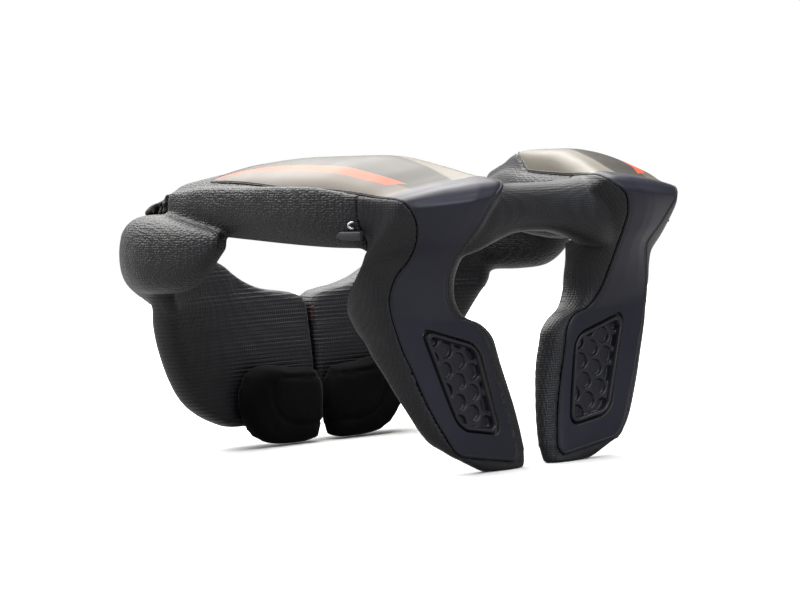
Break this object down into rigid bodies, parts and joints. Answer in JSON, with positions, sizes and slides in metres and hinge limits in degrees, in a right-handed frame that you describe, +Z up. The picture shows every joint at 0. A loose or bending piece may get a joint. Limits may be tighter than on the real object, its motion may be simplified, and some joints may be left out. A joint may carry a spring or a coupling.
{
  "type": "motocross neck brace",
  "caption": "Padded collar with a hard cover plate on each side, two chest legs, a chin bridge and a back panel, worn on the shoulders to limit how far a helmet can tip.",
  "frame": {"origin": "middle of the bottom of the overall box, level with the surface that the brace stands on", "axes": "+Z up, -Y the front with the two chest legs, +X the wearer's left"},
  "size_m": [0.2962, 0.2352, 0.1679],
  "materials": {
    "padding": "matt mesh fabric over foam",
    "shell": "satin moulded",
    "grip": "satin, with round cells",
    "velour": "brushed velour",
    "elastic": "ribbed elastic",
    "release": "smooth",
    "wire": "drawn wire",
    "thread": "dense zigzag stitches"
  },
  "bodies": {
    "root": {"front_frame": "padding", "right_side_foam": "padding", "left_side_foam": "padding", "right_shell": "shell", "left_shell": "shell", "right_chest_grip": "grip", "left_chest_grip": "grip", "right_back_pad": "velour", "left_back_pad": "velour", "right_rear_tab": "elastic", "left_rear_tab": "elastic", "right_release_tab": "release", "left_release_tab": "release", "right_wire_loop": "wire", "left_wire_loop": "wire", "back_bartack": "thread"}
  },
  "joints": []
}
